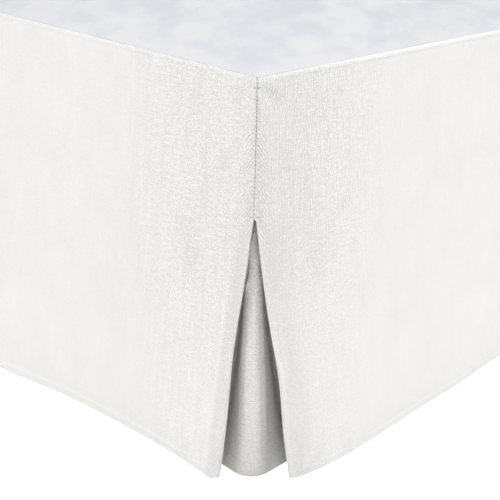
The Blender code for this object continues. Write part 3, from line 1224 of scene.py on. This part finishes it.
@dataclass
class DeckCloth:
    """The flat cotton panel that lies on the base, sewn inside the drops."""

    name: str = "deck_cloth"
    node: str = "deck_panel"
    corner_inset: float = 0.0020
    long_inset: float = 0.0040
    inset_growth: float = 0.12
    rise: float = 0.0008
    thickness: float = 0.0005
    rim_drop: float = 0.00045
    rim_width: float = 0.0040
    wrinkles: Rumple = Rumple(height=0.0011, size=0.085, seed=4.7)
    piece: Object | None = field(default=None, init=False)

    def inset(self, away: float) -> float:
        """How far the seam lies inside the edge, at a distance from the foot corner."""
        return self.corner_inset + (self.long_inset - self.corner_inset) * (1 - math.exp(-away / self.inset_growth))

    def stations(self, length: float) -> list[float]:
        """Shares of a length at which the grid has its lines, closer together at both ends."""
        rim = [0.0, 0.0006, 0.0012, 0.0020, 0.0030, 0.0050, 0.0090]
        inner = spaced(0.0150, length - 0.0150, 0.0125) + [length - 0.0150]
        return [distance / length for distance in rim + inner + [length - end for end in rim[::-1]]]

    def build(self) -> Object:
        """Lay the deck with its soft wrinkles and the roll at its seam."""
        rows = []
        for across in self.stations(BED.length):
            row = []
            for share in self.stations(BED.width):
                side = self.inset(across * BED.length)
                end = self.inset(min(share, 1 - share) * BED.width)
                x = (BED.width / 2 - side) * (2 * share - 1)
                y = BED.foot_y + end + (BED.length - end) * across
                near = min(min(share, 1 - share) * BED.width, across * BED.length)
                head = (1 - across) * BED.length
                rim = self.rim_drop * grow(1 - near / self.rim_width, 2.0)
                droop = 0.0022 * grow(1 - head / 0.009, 2.0)
                soft = grow(near / 0.03, 1.0)
                wrinkle = max(0.0, self.wrinkles.lift(x, y) + self.wrinkles.height * 0.35) * soft
                place = Vector((x, y, BED.top_z + self.rise + wrinkle - rim - droop))
                row.append(Spot(place, x, y))
            rows.append(row)
        self.piece = ClothCut(self.name, self.thickness, self.thickness).sew(rows)
        return self.piece

    def dress(self, wardrobe: Wardrobe) -> None:
        """Give the deck its cotton and hide the solid that it stands for."""
        dress_piece(self.piece, wardrobe.cotton, Slot.COTTON, [self.node])


def soften(bm: BMesh, edges: Sequence[BMEdge], radius: float, steps: int) -> None:
    """Round some edges of a block."""
    bmesh.ops.bevel(bm, geom=list(edges), offset=radius, segments=steps, affect="EDGES", profile=0.5, material=-1)


def spin_round(bm: BMesh, geometry: list, centre: Vector, angle: float, steps: int) -> list:
    """Spin some geometry about an upright axis.

    Args:
        bm: The mesh.
        geometry: What is spun.
        centre: A place on the axis.
        angle: How far it is spun.
        steps: Number of steps; a full turn closes on itself.

    Returns:
        The geometry of the last step.
    """
    whole = {"use_merge": True} if angle == math.tau else {}
    up = (0.0, 0.0, 1.0)
    spun = bmesh.ops.spin(
        bm, geom=geometry, cent=centre, axis=up, angle=angle, steps=steps, use_duplicate=False, **whole
    )
    return spun["geom_last"]


def closed(name: str, bm: BMesh, gap: float) -> Object:
    """Close a spun mesh where its ends meet and finish it."""
    bmesh.ops.remove_doubles(bm, verts=bm.verts, dist=gap)
    bmesh.ops.recalc_face_normals(bm, faces=bm.faces)
    return finished(name, bm)


@dataclass
class Foundation:
    """The low upholstered bed base with piped edges."""

    name: str = "foundation"
    corner_radius: float = 0.035
    edge_radius: float = 0.012
    lower_radius: float = 0.004
    piping_radius: float = 0.0021
    piping_sink: float = 0.0009

    @property
    def low(self) -> Vector:
        """Its lowest corner, as the solid's."""
        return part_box("bed_base")[0]

    @property
    def high(self) -> Vector:
        """Its highest corner, as the solid's."""
        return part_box("bed_base")[1]

    def build(self) -> Object:
        """Make the covered block with its rounded corners and softened edges."""
        bm = bmesh.new()
        low, high = self.low, self.high
        size = high - low
        place = Matrix.Translation((low + high) / 2) @ Matrix.Diagonal((*size, 1.0))
        bmesh.ops.create_cube(bm, size=1.0, matrix=place)
        upright = [edge for edge in bm.edges if abs(edge.verts[0].co.z - edge.verts[1].co.z) > size.z / 2]
        soften(bm, upright, self.corner_radius, 10)
        caps = sorted(bm.faces, key=lambda face: face.calc_center_median().z)
        soften(bm, caps[-1].edges, self.edge_radius, 5)
        soften(bm, caps[0].edges, self.lower_radius, 3)
        lay_map(bm, "cloth", self.covered)
        return finished(self.name, bm, sharp=50.0)

    @staticmethod
    def covered(face: BMFace, vertex: BMVert) -> tuple[float, float]:
        """Where a vertex lies on the ticking over its face.

        Args:
            face: The face.
            vertex: One of its vertices.

        Returns:
            The two distances along the face.
        """
        x, y, z = vertex.co
        if abs(face.normal.z) > 0.7:
            return x, y
        return (y, z) if abs(face.normal.x) > abs(face.normal.y) else (x, z)

    def piping(self, name: str, height: float) -> Object:
        """Run a covered cord round the base at one height.

        Args:
            name: Name of the piece.
            height: Height of the cord's middle.

        Returns:
            The cord.
        """
        reach_x = self.high.x - self.corner_radius
        reach_y = (self.high.y - self.low.y) / 2 - self.corner_radius
        centre_y = (self.high.y + self.low.y) / 2
        corners = [
            Vector((across * reach_x, centre_y + along * reach_y, height))
            for across, along in ((1, -1), (1, 1), (-1, 1), (-1, -1))
        ]
        bm = bmesh.new()
        first = corners[0] - Vector((0.0, self.corner_radius - self.piping_sink, 0.0))
        place = Matrix.Translation(first) @ Matrix.Rotation(math.pi / 2, 4, "Y")
        ring = bmesh.ops.create_circle(bm, segments=10, radius=self.piping_radius, matrix=place)
        live = list({edge for vertex in ring["verts"] for edge in vertex.link_edges})
        for index, corner in enumerate(corners):
            spun = spin_round(bm, live, corner, math.pi / 2, 10)
            live = [item for item in spun if isinstance(item, BMEdge)]
            drawn = bmesh.ops.extrude_edge_only(bm, edges=live)
            moved = [item for item in drawn["geom"] if isinstance(item, BMVert)]
            live = [item for item in drawn["geom"] if isinstance(item, BMEdge)]
            live = [edge for edge in live if all(vertex in moved for vertex in edge.verts)]
            step = corners[(index + 1) % 4] - corner
            bmesh.ops.translate(bm, verts=moved, vec=step)
        lay_map(bm, "cloth", lambda _, vertex: (vertex.co.x + vertex.co.y, vertex.co.z))
        return closed(name, bm, gap=0.00005)

    def dress(self, block: Object, pipings: Sequence[Object], wardrobe: Wardrobe) -> None:
        """Cover the base and its piping in ticking."""
        dress_piece(block, wardrobe.ticking, Slot.TICKING, ["bed_base"])
        for piping in pipings:
            dress_piece(piping, wardrobe.ticking, Slot.TICKING)


@dataclass
class TurnedLeg:
    """One turned leg: a collar, a taper and a narrow foot.

    The profile gives heights above the floor and radii, upwards.
    """

    node: str
    profile: tuple[tuple[float, float], ...] = (
        (0.0, 0.0215),
        (0.003, 0.0228),
        (0.012, 0.0232),
        (0.018, 0.0222),
        (0.022, 0.0205),
        (0.030, 0.0212),
        (0.090, 0.0238),
        (0.160, 0.0266),
        (0.196, 0.0280),
        (0.204, 0.0262),
        (0.208, 0.0262),
        (0.212, 0.0290),
        (0.220, 0.0298),
        (0.228, 0.0290),
        (0.232, 0.0272),
        (0.2455, 0.0276),
    )

    def build(self) -> Object:
        """Spin the leg's profile round its own axis."""
        low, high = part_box(self.node)
        axis = Vector(((low.x + high.x) / 2, (low.y + high.y) / 2, 0.0))
        top = high.z / self.profile[-1][0]
        bm = bmesh.new()
        line = [axis] + [axis + Vector((radius, 0.0, rise * top)) for rise, radius in self.profile]
        line.append(Vector((axis.x, axis.y, high.z)))
        verts = [bm.verts.new(point) for point in line]
        for lower, upper in zip(verts, verts[1:]):
            bm.edges.new((lower, upper))
        spin_round(bm, bm.verts[:] + bm.edges[:], axis, math.tau, 40)
        return closed(f"turned_{self.node}", bm, gap=0.00001)

    def dress(self, piece: Object, wardrobe: Wardrobe) -> None:
        """Give the leg its wood."""
        dress_piece(piece, wardrobe.wood, Slot.LEG_WOOD, [self.node])


# --- the studio ---


@dataclass
class Studio:
    """A plain pale floor, plain soft light and the camera."""

    floor_reach: float = 9.0
    air: float = 0.06
    key_left: float = 49.0
    key_right: float = 37.2
    back: float = 112.0
    front: float = 26.0
    overhead: float = 50.0
    lens: float = 77.759
    spot: Vector = field(default_factory=lambda: Vector((1.34785, -1.57182, 0.57418)))
    azimuth: float = 45.779
    elevation: float = 21.858
    roll: float = 1.129

    def make_floor(self) -> None:
        """Lay the floor."""
        bm = bmesh.new()
        bmesh.ops.create_grid(bm, x_segments=4, y_segments=4, size=self.floor_reach)
        floor = finished("floor", bm)
        surface = Surface("studio_floor")
        cloud = surface.signal("ShaderNodeTexCoord", "Object").noise((1.5, 1.5, 1.0))
        white = surface.finish({
            "Base Color": cloud.blend((0.88, 0.88, 0.88, 1.0), (0.90, 0.90, 0.90, 1.0)),
            "Roughness": 0.9,
            "Emission Color": WHITE,
            "Emission Strength": surface.signal("ShaderNodeLightPath", "Is Camera Ray"),
        })
        floor.data.materials.append(white)

    def make_air(self) -> None:
        """Fill the room with even white light."""
        world = bpy.data.worlds.new("studio_air")
        world.use_nodes = True
        bench = NodeBench(world.node_tree)
        seen = bench.signal("ShaderNodeLightPath", "Is Camera Ray")
        strength = seen * (1.0 - self.air) + self.air
        bench.feed(world.node_tree.nodes["Background"], {"Color": WHITE, "Strength": strength})
        bpy.context.scene.world = world

    def softbox(
        self, name: str, place: Vector, aim: Vector, size: float, watts: float, spread: float = 180.0
    ) -> None:
        """Hang one large soft light.

        Args:
            name: Name of the light.
            place: Where it hangs.
            aim: What it points at.
            size: Length of its sides.
            watts: Its power.
            spread: Angle in degrees that its grid lets out.
        """
        lamp = bpy.data.lights.new(name, "AREA")
        lamp.shape = "SQUARE"
        lamp.size = size
        lamp.energy = watts
        lamp.spread = math.radians(spread)
        turn = (aim - place).to_track_quat("-Z", "Y").to_matrix().to_4x4()
        linked(name, lamp).matrix_world = Matrix.Translation(place) @ turn

    def make_camera(self) -> None:
        """Stand the camera before the right foot corner."""
        a, e, r = (math.radians(angle) for angle in (self.azimuth, self.elevation, self.roll))
        back = Vector((math.sin(a) * math.cos(e), -math.cos(a) * math.cos(e), math.sin(e)))
        level = Vector((math.cos(a), math.sin(a), 0.0))
        upright = back.cross(level)
        across = level * math.cos(r) + upright * math.sin(r)
        up = upright * math.cos(r) - level * math.sin(r)
        lens = bpy.data.cameras.new("camera")
        lens.lens = self.lens
        lens.sensor_width = 36.0
        lens.clip_start = 0.02
        camera = linked("camera", lens)
        turn = Matrix((across, up, back)).transposed().to_4x4()
        camera.matrix_world = Matrix.Translation(self.spot) @ turn
        bpy.context.scene.camera = camera

    def build(self) -> None:
        """Set up the whole studio."""
        self.make_floor()
        self.make_air()
        corner = Vector((BED.width / 2, BED.foot_y, 0.2))
        aim = corner + Vector((-0.15, 0.15, 0.0))
        self.softbox("left_box", corner + Vector((-1.0, -2.2, 0.2)), aim, 2.2, self.key_left)
        self.softbox("right_box", corner + Vector((1.8, 2.2, 0.1)), aim, 2.2, self.key_right, spread=110.0)
        self.softbox("front_box", corner + Vector((1.0, -1.0, 1.6)), aim, 1.5, self.front)
        self.softbox("overhead_box", corner + Vector((-0.5, 0.5, 2.3)), aim, 1.8, self.overhead)
        self.softbox("back_box", corner + Vector((-4.2, 4.6, 0.0)), Vector((0.0, 0.0, 0.2)), 2.0, self.back)
        self.make_camera()
        bpy.context.scene.view_settings.view_transform = "Standard"


# --- this skirt ---


def folds(*rows: tuple[float, ...]) -> tuple[Fold, ...]:
    """Make folds from their place, width, swell, start and lean."""
    return tuple(Fold(*row) for row in rows)


def creases(*rows: tuple[float, ...]) -> tuple[Crease, ...]:
    """Make creases from where they start and end, along and down, their width and their height."""
    return tuple(Crease(row[:2], row[2:4], row[4], row[5]) for row in rows)


FOOT_FOLDS = folds(
    (0.105, 0.075, -0.0045, 0.20, 0.010),
    (0.391, 0.113, 0.0275, 0.10, 0.035),
    (0.650, 0.100, -0.010, 0.25, -0.020),
    (0.860, 0.105, 0.009, 0.15, 0.015),
    (1.090, 0.095, -0.008, 0.30, 0.020),
    (1.300, 0.100, 0.010, 0.10, -0.030),
)
RIGHT_FOLDS = folds(
    (0.045, 0.016, -0.003, 0.50, -0.020),
    (0.115, 0.080, 0.0075, 0.25, 0.020),
    (0.450, 0.130, -0.014, 0.10, 0.060),
    (0.740, 0.120, 0.010, 0.20, -0.015),
    (1.010, 0.105, -0.007, 0.30, 0.020),
    (1.260, 0.130, 0.011, 0.10, 0.030),
    (1.560, 0.110, -0.009, 0.25, -0.025),
    (1.830, 0.120, 0.008, 0.20, 0.010),
)
LEFT_FOLDS = folds(
    (0.150, 0.090, -0.006, 0.25, 0.010),
    (0.380, 0.110, 0.010, 0.15, -0.025),
    (0.670, 0.130, -0.009, 0.20, 0.020),
    (0.960, 0.110, 0.011, 0.10, 0.035),
    (1.240, 0.120, -0.010, 0.30, -0.015),
    (1.510, 0.100, 0.008, 0.15, 0.020),
    (1.790, 0.115, -0.006, 0.25, -0.010),
)
FOOT_CREASES = creases(
    (0.350, 0.060, 0.225, 0.330, 0.018, 0.0009),
    (0.300, 0.030, 0.150, 0.230, 0.014, -0.0006),
    (0.022, 0.128, 0.038, 0.250, 0.0040, 0.0013),
    (0.032, 0.120, 0.050, 0.275, 0.0040, -0.0014),
    (0.045, 0.112, 0.064, 0.290, 0.0044, 0.0015),
    (0.059, 0.118, 0.077, 0.300, 0.0046, -0.0015),
    (0.074, 0.110, 0.090, 0.285, 0.0052, 0.0013),
    (0.100, 0.030, 0.060, 0.120, 0.010, 0.0004),
    (0.780, 0.020, 0.620, 0.260, 0.020, 0.0012),
    (1.050, 0.050, 1.180, 0.300, 0.018, -0.0010),
    (1.480, 0.060, 1.380, 0.280, 0.014, 0.0009),
)
RIGHT_CREASES = creases(
    (-0.002, 0.0040, 0.030, 0.0190, 0.0046, -0.0036),
    (0.214, 0.070, 0.285, 0.260, 0.016, -0.0009),
    (0.180, 0.060, 0.205, 0.300, 0.014, 0.0006),
    (0.240, 0.260, 0.190, 0.340, 0.016, -0.0008),
    (0.020, 0.030, 0.042, 0.200, 0.009, -0.0005),
    (0.060, 0.020, 0.085, 0.260, 0.012, 0.0005),
    (0.620, 0.040, 0.760, 0.300, 0.020, -0.0010),
    (1.150, 0.030, 1.040, 0.280, 0.018, 0.0010),
    (1.700, 0.050, 1.620, 0.330, 0.020, 0.0010),
)
LEFT_CREASES = creases(
    (0.008, 0.012, 0.040, 0.022, 0.007, -0.0008),
    (0.250, 0.040, 0.330, 0.280, 0.017, 0.0009),
    (0.560, 0.060, 0.480, 0.300, 0.016, -0.0009),
    (0.880, 0.030, 0.800, 0.260, 0.020, 0.0011),
    (1.350, 0.050, 1.430, 0.310, 0.018, -0.0010),
    (1.650, 0.040, 1.720, 0.290, 0.020, 0.0009),
)
RIGHT_PANEL_CREASES = creases(
    (0.0020, 0.122, -0.0075, 0.154, 0.0020, 0.0022),
    (0.0070, 0.124, 0.0010, 0.152, 0.0020, -0.0009),
    (-0.012, 0.184, 0.004, 0.158, 0.0022, 0.0018),
    (-0.008, 0.192, 0.006, 0.168, 0.0016, -0.0007),
    (-0.012, 0.1925, 0.001, 0.1905, 0.0012, -0.0010),
    (-0.006, 0.180, -0.012, 0.376, 0.0024, -0.0003),
    (0.007, 0.180, 0.012, 0.376, 0.0024, -0.0004),
    (0.012, 0.200, 0.019, 0.376, 0.0026, 0.0004),
)
LEFT_PANEL_CREASES = creases(
    (0.010, 0.110, 0.006, 0.376, 0.0050, 0.0012),
    (-0.012, 0.140, -0.010, 0.376, 0.0050, -0.0009),
    (-0.014, 0.160, 0.014, 0.200, 0.0030, 0.0010),
)


def make_drops() -> list[HangingDrop]:
    """Describe the three drops of the skirt."""
    foot_flare, side_flare = 0.009, 0.006

    def side_drop(side: Corner, **rest: object) -> HangingDrop:
        """Describe the drop of one side of the bed, from its foot corner onwards."""
        return HangingDrop(
            name=f"{side.word}_drop_cloth",
            node=f"drop_side_{side.word}",
            corner=side.place,
            along=Vector((0.0, 1.0, 0.0)),
            outward=Vector((side.value, 0.0, 0.0)),
            length=BED.length,
            last_edge=None,
            flare=side_flare,
            **rest,
        )

    foot = HangingDrop(
        name="foot_drop_cloth",
        node="drop_foot",
        corner=Corner.RIGHT.place,
        along=Vector((-1.0, 0.0, 0.0)),
        outward=Vector((0.0, -1.0, 0.0)),
        length=BED.width,
        first_edge=FlapEdge(
            opening=0.0367,
            roll=0.0026,
            neighbour_flare=side_flare,
            spring=0.0003,
            bow=0.0042,
            bow_at=0.245,
            bow_spread=0.058,
            corner_round=0.0095,
        ),
        last_edge=FlapEdge(
            opening=0.0440, roll=0.0026, neighbour_flare=side_flare, bow=0.0030, corner_round=0.006
        ),
        flare=foot_flare,
        folds=FOOT_FOLDS,
        creases=FOOT_CREASES,
        rumple=Rumple(height=0.0007, size=0.060, seed=1.3),
        shoulder=0.0007,
    )
    right = side_drop(
        Corner.RIGHT,
        first_edge=FlapEdge(
            opening=0.0469,
            roll=0.0016,
            neighbour_flare=foot_flare,
            spring=0.0019,
            bow=0.0042,
            bow_at=0.272,
            corner_round=0.0018,
        ),
        folds=RIGHT_FOLDS,
        creases=RIGHT_CREASES,
        rumple=Rumple(height=0.0007, size=0.055, seed=7.9),
        shoulder=0.0016,
    )
    left = side_drop(
        Corner.LEFT,
        first_edge=FlapEdge(opening=0.0380, roll=0.0024, neighbour_flare=foot_flare, bow=0.0028),
        folds=LEFT_FOLDS,
        creases=LEFT_CREASES,
        rumple=Rumple(height=0.0007, size=0.058, seed=12.1),
        shoulder=0.0010,
        near_reach=0.20,
    )
    return [foot, right, left]


def make_corner_panels() -> list[CornerPanel]:
    """Describe the inner panels behind the two splits."""
    panels = []
    for corner, foot_inset, side_inset, round_hem, rows, seed in (
        (Corner.RIGHT, 0.018, 0.017, 0.021, RIGHT_PANEL_CREASES, 2.2),
        (Corner.LEFT, 0.017, 0.019, 0.027, LEFT_PANEL_CREASES, 5.2),
    ):
        names = f"{corner.word}_corner_panel", f"corner_insert_{corner.word}"
        rumple = Rumple(height=0.0005, size=0.030, seed=seed)
        panels.append(CornerPanel(*names, corner, foot_inset, side_inset, round_hem, rows, rumple))
    return panels


def reported(piece: Object) -> Object:
    """Log one piece and its size."""
    LOG.info("%s: %d faces", piece.name, len(piece.data.polygons))
    return piece


def main() -> None:
    """Build the skirt, its stitching, the base that carries it and the studio."""
    logging.basicConfig(level=logging.INFO, format="%(name)s: %(message)s")
    wardrobe = Wardrobe()
    studio = Studio()
    studio.build()
    foundation = Foundation()
    block = reported(foundation.build())
    pipings = [
        reported(foundation.piping("upper_piping", foundation.high.z - foundation.edge_radius * 1.4)),
        reported(foundation.piping("lower_piping", foundation.low.z + 0.006)),
    ]
    foundation.dress(block, pipings, wardrobe)
    for node in sorted(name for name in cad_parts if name.startswith("leg_")):
        leg = TurnedLeg(node)
        leg.dress(reported(leg.build()), wardrobe)
    deck = DeckCloth()
    reported(deck.build())
    deck.dress(wardrobe)
    foot, right, left = make_drops()
    for panel in [foot, right, left, *make_corner_panels()]:
        reported(panel.build())
        stitches = RunningStitches(f"{panel.name}_hem_stitches").build(panel.stitch_line())
        dress_piece(reported(stitches), wardrobe.thread, Slot.LINEN)
        panel.dress(wardrobe, stitches)
    for name, side in (("right_seam", right), ("left_seam", left)):
        seam = SeamStitches(name, foot, side)
        # The dark thread down inside each seam is painted shadow.
        for sewn in (
            RunningStitches(f"{name}_stitches", thread=0.00014).build(seam.line()),
            RunningStitches(f"{name}_knots", thread=0.00030).build(seam.knots()),
        ):
            dress_piece(reported(sewn), wardrobe.seam_thread_and_shade, Slot.LINEN)


if __name__ == "__main__":
    main()
